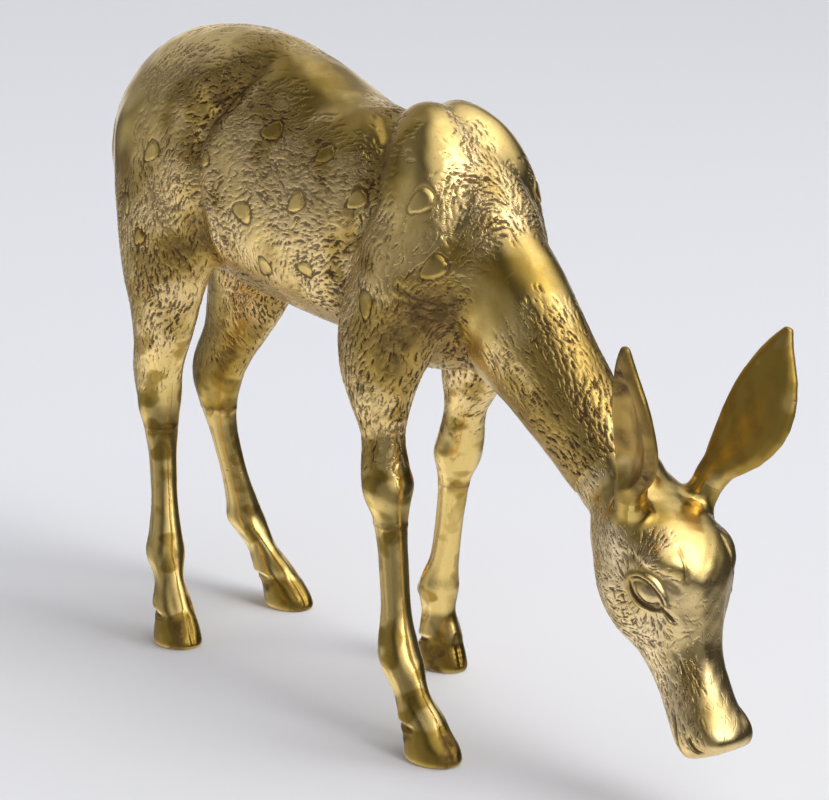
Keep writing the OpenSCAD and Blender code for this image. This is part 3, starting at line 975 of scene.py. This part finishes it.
def material(name, base, tarnish_and_shade, warmth, roughness, fur=0.0, way=0.0, pits=0.5):
    """Cast brass with brown patina left in the low places, and painted shade in the same olive and brown
    where the mesh's patina-and-shade attribute is high. way is the hair's angle about Y.
    """
    mat = bpy.data.materials.new(name)
    mat.use_nodes = True
    nodes = mat.node_tree.nodes
    shader = nodes["Principled BSDF"]

    def new(kind, **values):
        node = nodes.new(kind)
        for key, value in values.items():
            if key in node.inputs:
                put(node.inputs[key], value)
            else:
                setattr(node, key, value)
        return node

    def maths(operation, a, b):
        node = new("ShaderNodeMath", operation=operation)
        wire(node, a, b)
        return node.outputs[0]

    def times(a, b):
        return maths("MULTIPLY", a, b)

    def mix(a, b, factor):
        node = new("ShaderNodeMix", data_type="RGBA")
        put(node.inputs["Factor"], factor)
        for socket, value in zip((x for x in node.inputs if x.type == "RGBA"), (a, b)):
            put(socket, (*value, 1) if isinstance(value, tuple) else value)
        return next(x for x in node.outputs if x.type == "RGBA")

    def remap(value, low, high, to_low=0.0, to_high=1.0):
        node = new("ShaderNodeMapRange")
        wire(node, value, low, high, to_low, to_high)
        return node.outputs["Result"]

    def attribute(key):
        return new("ShaderNodeAttribute", attribute_name=key).outputs["Fac"]

    place = nodes.new("ShaderNodeTexCoord").outputs["Object"]

    def noise(scale, detail=4.0, rough=0.55, where=place):
        node = new("ShaderNodeTexNoise", Scale=scale, Detail=detail, Roughness=rough, Vector=where)
        return node.outputs["Fac"]

    def cells(scale, where, feature="F1"):
        node = new("ShaderNodeTexVoronoi", feature=feature, Scale=scale, Vector=where)
        return node.outputs["Distance"]

    def turned(vector, angle=0.0, stretch=1.0):
        node = new("ShaderNodeMapping", Vector=vector, Rotation=(0, angle, 0), Scale=(stretch, 1, 1))
        return node.outputs[0]

    groove_depth, low_place, chased = attribute("fur"), attribute("cavity"), attribute("chased")
    patina_and_shade = attribute("patina_and_shade")
    clouds, blots, specks = noise(22, 5), noise(75, 5, 0.6), noise(700, 3, 0.6)

    # fine hair, cracks and dashes, stretched along the way that the hair lies
    wobble = new("ShaderNodeTexNoise", Scale=90.0, Detail=2.0, Vector=place)
    bent = new("ShaderNodeVectorMath", operation="MULTIPLY_ADD")
    wire(bent, wobble.outputs["Color"], (0.004, 0.004, 0.004), turned(place, way))
    narrow, slim = turned(bent.outputs[0], stretch=0.28), turned(bent.outputs[0], stretch=0.20)
    hair = noise(820, 2.0, 0.5, narrow)
    crack = remap(cells(430.0, narrow, "DISTANCE_TO_EDGE"), 0.0, 0.10, 1.0, 0.0)
    crack = times(times(crack, remap(noise(260, 2.0), 0.48, 0.62)), chased)
    dash = remap(cells(560.0, slim), 0.18, 0.32, 1.0, 0.0)
    dash = times(dash, remap(noise(120, 2.0), 0.44, 0.56))
    dash = times(dash, remap(chased, 0.62, 0.90))

    # pits left by the casting
    pit = remap(cells(330.0, place), 0.10, 0.22, 1.0, 0.0)
    pit = times(times(pit, remap(blots, 0.60, 0.68)), pits)

    core = remap(groove_depth, 0.34, 0.64)
    # the brownest patina, and the darkest painted shade, where the patina-and-shade attribute runs high
    deep_patina_and_shade = times(remap(patina_and_shade, 0.75, 1.3, 0.0, 0.9), remap(noise(240, 4.0, 0.6), 0.35, 0.6, 0.35, 1.0))
    dark_patina_and_shade = times(core, remap(patina_and_shade, 0.0, 0.6, 0.7, 1.0))
    cracks, dashes = times(crack, 0.25 * (fur > 0)), times(dash, 0.75 * (fur > 0.5))
    for layer in (cracks, dashes, remap(low_place, 0.35, 1.0, 0.0, 0.95), pit, deep_patina_and_shade):
        dark_patina_and_shade = maths("MAXIMUM", dark_patina_and_shade, layer)
    dark_patina_and_shade = times(dark_patina_and_shade, remap(clouds, 0.25, 0.6, 0.75, 1.0))

    # olive dullness from random tone and from the patina-and-shade attribute, so partly tarnish and partly
    # painted shade
    dull = maths("ADD", maths("ADD", clouds, times(blots, 0.45)), times(patina_and_shade, 0.8))
    dull = remap(dull, 0.86, 1.20, 0.0, 0.95)
    colour = mix(base, tarnish_and_shade, dull)
    rosy = times(chased, remap(blots, 0.3, 0.7, 0.45, 0.85))
    colour = mix(colour, warmth, times(rosy, remap(dull, 0.1, 0.9, 1.0, 0.25)))
    colour = mix(colour, tarnish_and_shade, remap(specks, 0.58, 0.75, 0.0, 0.35))
    colour = mix(colour, PATINA_AND_SHADE_BROWN, dark_patina_and_shade)
    rough = remap(blots, 0.3, 0.75, roughness - 0.05, roughness + 0.12)
    for spread, more in ((dull, 0.06), (dark_patina_and_shade, 0.3)):
        rough = maths("ADD", rough, times(spread, more))

    height = times(hair, times(chased, 0.5 * fur))
    for low, depth in ((crack, 0.8 * fur), (core, 0.9), (dash, 0.9 * (fur > 0.5)), (pit, 0.8)):
        height = maths("SUBTRACT", height, times(low, depth))
    for high, rise in ((specks, 0.10), (noise(160, 3.0), 0.35)):
        height = maths("ADD", height, times(high, rise))
    bump = new("ShaderNodeBump", Strength=0.55, Distance=0.0003, Height=height)
    for key, value in {
        "Base Color": colour,
        "Metallic": remap(dark_patina_and_shade, 0.2, 1.0, 1.0, 0.1),
        "Specular IOR Level": 0.12,
        "Roughness": rough,
        "Normal": bump.outputs["Normal"],
    }.items():
        put(shader.inputs[key], value)
    return mat


# dark brown of the patina in hollows, also used for painted shade
PATINA_AND_SHADE_BROWN = (0.060, 0.026, 0.010)
GOLD, OLIVE, ROSE = (0.90, 0.65, 0.23), (0.42, 0.27, 0.05), (0.84, 0.62, 0.33)
PALE = (0.86, 0.70, 0.48)  # the rosy, duller brass of the cheeks, made paler also as a painted reflection of the floor
DUSKY = (0.50, 0.36, 0.22)  # and of the ears' backs, darker there also as painted shade
REDDISH = ((0.76, 0.50, 0.20), (0.36, 0.19, 0.06))  # filler left as filed
FINISH = {}  # slot of the record, then what material() is told


def finish(names, slot, *values, **more):
    for name in names:
        FINISH[name] = (slot, values, more)


CAST, POLISHED, FILLER = "brass_cast", "brass_polished", "braze_filler"
LEG_ENDS = ("front_left", "front_right", "hind_left", "hind_right")
finish(("torso_left_shell", "torso_right_shell"), CAST, "torso_brass", GOLD, OLIVE, ROSE, 0.18, 1.0, 0.31)
finish(("neck_shell",), CAST, "neck_brass", GOLD, OLIVE, ROSE, 0.18, 1.0, -0.55)
finish(("head_shell",), CAST, "head_brass", GOLD, OLIVE, PALE, 0.18, 0.7, -1.25)
finish(("tail",), CAST, "tail_brass", GOLD, OLIVE, ROSE, 0.18, 1.0, 1.4)
finish([e + "_upper_leg" for e in LEG_ENDS], CAST, "upper_leg_brass", GOLD, OLIVE, ROSE, 0.18, 1.0, 1.45)
finish([e + "_lower_leg" for e in LEG_ENDS], POLISHED, "lower_leg_brass", GOLD, OLIVE, ROSE, 0.18, pits=0.8)
finish(EARS, POLISHED, "ear_brass", GOLD, OLIVE, DUSKY, 0.32, pits=0.8)
ground, filed = ("neck_braze", "head_braze", "shoulder_brazes", "hip_brazes"), ("knee_brazes", "hock_brazes")
finish(ground, FILLER, "filler_ground", GOLD, OLIVE, ROSE, 0.24, 0.3, 0.0, 1.0)
finish(filed, FILLER, "filler_metal", *REDDISH, ROSE, 0.24, 0.3, 0.0, 1.0)

# ---- building ----

BODY_STEP, HEAD_STEP = ((0.7, 0.5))
BODY_BLUR, HEAD_BLUR = (3.4, 1.1), (1.9, 0.55)  # soft, then crisp for legs and ears
BODY_HOLLOW, HEAD_HOLLOW = 2.4, 1.6  # size of the hollows that hold patina
BODY_INK_WIDTH, HEAD_INK_WIDTH = 1.7, 1.25
# gap between strokes, their length, half width, share of the depth, and seed
BODY_STROKES = ((2.8, 6.6, 0.95, 1.0, 11), (2.3, 3.8, 0.8, 0.8, 23))
HEAD_STROKES, TAIL_STROKES = (2.0, 5.6, 0.58, 1.0, 41), (2.0, 6.0, 1.0, 1.0, 52)
BODY_STROKE_DEPTH, HEAD_STROKE_DEPTH, TAIL_STROKE_DEPTH, SPOT_RIM_DEPTH = 0.42, 0.3, 0.45, 0.3
DOWN, UP = (0, 0, -1), (0, 0, 1)


def cavity(field, p, reach):
    """How hollow the surface is around each place, at the scale of reach."""
    total = -6 * field.sample(field.d, p)
    for axis in range(3):
        step = np.zeros(3)
        step[axis] = reach
        total += field.sample(field.d, p + step) + field.sample(field.d, p - step)
    return np.clip(-total / reach, 0, 1)


LEG_JOINTS = (  # name of the cut, node of the filler, heights, and whether it is a fore leg's
    ("elbow", "shoulder_brazes", ELBOW, True),
    ("knee", "knee_brazes", KNEE, True),
    ("stifle", "hip_brazes", STIFLE, False),
    ("hock", "hock_brazes", HOCK, False),
)


def legs_of(p, front):
    side = p[:, 0] > LEGS_PART
    return in_leg(p) & (side if front else ~side)


def above_legs(p):
    return (p[:, 2] > ELBOW[1] + 1) | ~in_leg(p)


def build_body():
    f = body_field()
    p, tris = triangles(f)
    planes = {
        "neck_back": (lambda q: ahead_of(NECK, q) + NECK[2], above_legs),
        "neck_front": (lambda q: ahead_of(NECK, q) - NECK[2], above_legs),
        "head_back": (lambda q: ahead_of(HEAD, q) + HEAD[2], lambda q: ~in_leg(q)),
    }
    for word, _, span, front in LEG_JOINTS:
        for end, z in zip(("low", "high"), span):
            planes[f"{word}_{end}"] = (lambda q, z=z: q[:, 2] - z, lambda q, front=front: legs_of(q, front))
    planes["middle"] = (
        lambda q: q[:, 1],
        lambda q: (ahead_of(NECK, q) < -NECK[2]) & (q[:, 2] > ELBOW[1]),
    )
    p, tris, on = sliced(p, tris, planes)
    c = p[tris].mean(1)
    s, h = ahead_of(NECK, c), ahead_of(HEAD, c)
    z = c[:, 2]
    owner = np.where(c[:, 1] > 0, "torso_left_shell", "torso_right_shell").astype(object)
    trunk = (z > ELBOW[1]) | ~in_leg(c)
    owner[trunk & (s > -NECK[2])] = "neck_braze"
    owner[trunk & (s > NECK[2])] = "neck_shell"
    owner[trunk & (s > NECK[2]) & (h > -HEAD[2])] = "none"
    for front, word, top, low, names in (
        (True, "front", ELBOW, KNEE, ("shoulder_brazes", "knee_brazes")),
        (False, "hind", STIFLE, HOCK, ("hip_brazes", "hock_brazes")),
    ):
        leg = legs_of(c, front)
        for side, sign in (("left", 1), ("right", -1)):
            mine = leg & (c[:, 1] * sign > 0)
            owner[mine & (z < top[0])] = f"{word}_{side}_upper_leg"
            owner[mine & (z < low[0])] = f"{word}_{side}_lower_leg"
        owner[leg & (z > top[0]) & (z < top[1])] = names[0]
        owner[leg & (z > low[0]) & (z < low[1])] = names[1]
    keep = owner != "none"
    tris, owner = tris[keep], owner[keep]
    n = point_normals(p, tris)
    amount = fur_amount(p, n)
    way = fur_way(p)
    height, mask, line = spots(p, n, unit(way))
    amount = amount * (1 - mask)
    hollow = cavity(f, p, BODY_HOLLOW)
    depth = np.zeros(len(p))
    ink = inked(p, BODY_INK_WIDTH)
    for gap, length, width, share, seed in BODY_STROKES:
        points, taper = strokes(p, n, tris, amount, way, gap, length, seed)
        depth = np.maximum(depth, press(p, points, taper, width) * share)
    z = p[:, 2]
    roll = drift(p, 9, 31) * 0.05 + drift(p, 26, 32) * 0.12
    move = height - BODY_STROKE_DEPTH * depth - SPOT_RIM_DEPTH * line + roll * ramp(z, 2, 8)
    move += 0.05 * amount * drift(p, 5.5, 33)
    for _, _, (low, high), front in LEG_JOINTS:
        band = ramp(z, low - 1.5, low) * (1 - ramp(z, high, high + 1.5)) * legs_of(p, front)
        move += band * (0.03 + 0.12 * drift(p, 5, 34))
    p = p + n * move[:, None]
    n = point_normals(p, tris)
    N, H = NECK[1], HEAD[1]
    caps = {
        "neck_braze": [("neck_back", -N), ("neck_front", N)],
        "neck_shell": [("neck_front", -N), ("head_back", H)],
    }
    for word, node, _, _ in LEG_JOINTS:
        caps[node] = [(word + "_low", DOWN), (word + "_high", UP)]
    for side, y in (("left", -1), ("right", 1)):
        legs = [("elbow_high", DOWN), ("stifle_high", DOWN)]
        caps[f"torso_{side}_shell"] = [("middle", (0, y, 0)), ("neck_back", N)] + legs
        for end, top, low in (("front", "elbow", "knee"), ("hind", "stifle", "hock")):
            caps[f"{end}_{side}_upper_leg"] = [(top + "_low", UP), (low + "_high", DOWN)]
            caps[f"{end}_{side}_lower_leg"] = [(low + "_low", UP)]
    data = {
        "fur": depth + 0.7 * line,
        "cavity": np.maximum(hollow, 1.4 * ink),
        "chased": amount,
        "patina_and_shade": patina_and_shade_amount(p, n),
    }
    for name in sorted(set(owner)):
        make_piece(name, p, tris[owner == name], n, data, on, caps[name])


def face_patina_and_shade(p, n):
    out = 0.2 + 0.2 * drift(p, 26, 66)
    ear = np.zeros(len(p), bool)
    for name in EARS:
        ear |= in_ear(name, p)
    patch = drift(p, 22, 67) + 0.6 * drift(p, 9, 68)
    out = np.where(ear, 0.62 + 0.3 * patch, out)
    for name in EARS:
        root, axis = ear_frame(name)
        away = np.linalg.norm(p - root - 5 * axis, axis=1)
        # a painted shadow round each ear's root
        out += 0.55 * np.exp(-((away / 9) ** 2)) * (n[:, 0] < 0.5)
    out += 0.6 * beside_nose(p)
    out += 0.5 * near(p, (150, 15, 110), (8, 6, 8), 4.5)
    return np.clip(out, 0, 1.2)


def build_head():
    f = head_field()
    p, tris = triangles(f)
    planes = {
        "head_back": (lambda q: ahead_of(HEAD, q) + HEAD[2], lambda q: q[:, 0] > 90),
        "head_front": (lambda q: ahead_of(HEAD, q) - HEAD[2], lambda q: q[:, 0] > 90),
    }
    for name in EARS:
        planes[name] = (
            lambda q, name=name: from_ear(name, q)[0] - EAR_JOINT,
            lambda q, name=name: from_ear(name, q)[1] < EAR_ROOT_REACH,
        )
    p, tris, on = sliced(p, tris, planes)
    c = p[tris].mean(1)
    h = ahead_of(HEAD, c)
    owner = np.full(len(tris), "head_shell", dtype=object)
    owner[h < HEAD[2]] = "head_braze"
    owner[h < -HEAD[2]] = "none"
    for name in EARS:
        owner[in_ear(name, c)] = name
    keep = owner != "none"
    tris, owner = tris[keep], owner[keep]
    n = point_normals(p, tris)
    amount = cheek_amount(p, n)
    way = cheek_way(p)
    gap, length, width, _, seed = HEAD_STROKES
    points, taper = strokes(p, n, tris, amount, way, gap, length, seed)
    depth = press(p, points, taper, width)
    ink = inked(p, HEAD_INK_WIDTH)
    hollow = cavity(f, p, HEAD_HOLLOW)
    move = 0.04 * drift(p, 6, 43) + 0.06 * drift(p, 18, 44) - HEAD_STROKE_DEPTH * depth
    p = p + n * move[:, None]
    n = point_normals(p, tris)
    H = HEAD[1]
    caps = {"head_braze": [("head_back", -H), ("head_front", H)], "head_shell": [("head_front", -H)]}
    for name in EARS:
        axis = ear_frame(name)[1]
        caps["head_shell"].append((name, axis))
        caps[name] = [(name, -axis)]
    # the ears' outer sides get chasing, the dusky colour and a little more brown; the extra brown is painted
    # shade
    outer = np.where(p[:, 1] < 4, -n[:, 1], n[:, 1])
    head_patina_and_shade = face_patina_and_shade(p, n)
    for name in EARS:
        root, axis = ear_frame(name)
        past = ramp((p - root) @ axis, EAR_JOINT, EAR_JOINT + 4) * (p[:, 2] > 112)
        amount = np.maximum(amount, 0.9 * past * ramp(outer, -0.2, 0.4))
        head_patina_and_shade = head_patina_and_shade + 0.16 * past * ramp(outer, -0.2, 0.4)
    # the lower face: a little chasing, and the pale rosy colour, which is partly the brass's tone and partly
    # a painted reflection
    amount = np.maximum(amount, 0.55 * ramp(-p[:, 2], -98, -86))
    data = {"fur": depth, "cavity": np.maximum(hollow, 1.7 * ink), "chased": amount, "patina_and_shade": head_patina_and_shade}
    for name in sorted(set(owner)):
        make_piece(name, p, tris[owner == name], n, data, on, caps[name])


def build_tail():
    middle = [(-172, 0, 243), (-181, 0, 235), (-187, 0, 220), (-188.5, 0, 205), (-186, 0, 193)]
    line = curve(middle, 5)
    radii = np.interp(np.linspace(0, 1, len(line)), [0, 0.3, 0.6, 0.85, 1], [7.5, 6.6, 5.4, 3.8, 1.6])
    f = Field(["tail"], 0.7)
    squeeze = 0.72  # the tail is wider than it is deep
    shape = tube(line * (1, squeeze, 1), radii * 0.92)
    X, Y, Z = f.coords()
    f.d = shape[2](X, Y * squeeze, Z).astype(np.float32)
    p, tris = triangles(f)
    n = point_normals(p, tris)
    amount = np.clip(0.9 + 0.3 * drift(p, 12, 51), 0, 1)
    way = np.zeros_like(p) + (-0.1, 0, -1)
    gap, length, width, _, seed = TAIL_STROKES
    points, taper = strokes(p, n, tris, amount, way, gap, length, seed)
    depth = press(p, points, taper, width)
    p = p - n * (TAIL_STROKE_DEPTH * depth)[:, None]
    n = point_normals(p, tris)
    data = {"fur": depth, "cavity": depth * 0, "chased": amount, "patina_and_shade": 0.5 + 0.3 * drift(p, 20, 53)}
    make_piece("tail", p, tris, n, data, {}, [])


build_body()
build_head()
build_tail()

rod = material("dowel_brass", (0.75, 0.55, 0.24), (0.6, 0.42, 0.16), ROSE, 0.3)
for name, node in NODES.items():
    if "dowel" in name or name == "ear_pins":
        for slot in node.material_slots:
            slot.material = rod

# ---- floor and light ----

floor_mesh = bpy.data.meshes.new("floor")
floor_mesh.from_pydata([(-12, -12, 0), (12, -12, 0), (12, 12, 0), (-12, 12, 0)], [], [(0, 1, 2, 3)])
floor = linked("floor", floor_mesh)
paper = bpy.data.materials.new("floor_paper")
paper.use_nodes = True
coat = paper.node_tree.nodes["Principled BSDF"]
put(coat.inputs["Base Color"], (0.92, 0.92, 0.94, 1))
put(coat.inputs["Roughness"], 0.75)
floor_mesh.materials.append(paper)
floor.visible_glossy = False  # the metal mirrors the studio's lower half instead
floor.visible_shadow = False

key = linked("key", bpy.data.lights.new("key", "AREA"))
key.data.shape, key.data.size, key.data.size_y = "RECTANGLE", 2.0, 2.0
key.data.energy, key.data.color = 72, (1, 0.985, 0.96)
key.location = (3.8, 0.9, 3.0)
key.rotation_euler = (Vector((0, 0, 0.12)) - key.location).to_track_quat("-Z", "Y").to_euler()
key.visible_glossy = False  # the sky's own bright patch gives the highlights

SKY = [  # direction, brightness, and the cosines between which each soft light starts and is full
    ((0.70, 0.15, 0.90), 0.95, 0.55, 1.0),
    ((0.86, 0.26, 0.62), 2.0, 0.88, 1.0),
    ((0.10, 0.60, 0.90), 0.90, 0.72, 1.0),
    ((-0.80, 0.60, 0.00), 0.80, 0.80, 1.0),
    ((-0.77, 0.15, 0.62), 0.40, 0.75, 1.0),
    ((-0.60, -0.60, 0.50), 0.10, 0.60, 1.0),
    ((-0.20, -0.95, 0.10), 0.22, 0.70, 1.0),
    ((0.75, -0.66, -0.10), 0.16, 0.65, 1.0),
    ((-0.76, -0.52, -0.38), 0.34, 0.72, 1.0),
    ((0.00, 0.00, -1.00), 0.80, 0.12, 0.70),
]
world = bpy.data.worlds.new("studio")
world.use_nodes = True
sky = world.node_tree
way = sky.nodes.new("ShaderNodeTexCoord").outputs["Generated"]
total = 0.05  # what the darkest parts of the sky still give
for toward, brightness, start, full in SKY:
    dot = sky.nodes.new("ShaderNodeVectorMath")
    dot.operation = "DOT_PRODUCT"
    lobe = sky.nodes.new("ShaderNodeMapRange")
    lobe.interpolation_type = "SMOOTHSTEP"
    plus = sky.nodes.new("ShaderNodeMath")
    plus.operation = "ADD"
    wire(dot, way, unit(toward))
    wire(lobe, dot.outputs["Value"], start, full, 0, brightness)
    wire(plus, lobe.outputs["Result"], total)
    total = plus.outputs[0]
background = sky.nodes["Background"]
put(background.inputs["Color"], (0.95, 0.96, 1.0, 1))
put(background.inputs["Strength"], total)
wall = sky.nodes.new("ShaderNodeBackground")  # what the camera itself sees beyond the floor
put(wall.inputs["Color"], (0.72, 0.72, 0.75, 1))
seen = sky.nodes.new("ShaderNodeMixShader")
camera_ray = sky.nodes.new("ShaderNodeLightPath").outputs["Is Camera Ray"]
wire(seen, camera_ray, background.outputs[0], wall.outputs[0])
put(sky.nodes["World Output"].inputs["Surface"], seen.outputs[0])
bpy.context.scene.world = world
bpy.context.scene.view_settings.view_transform = "Standard"
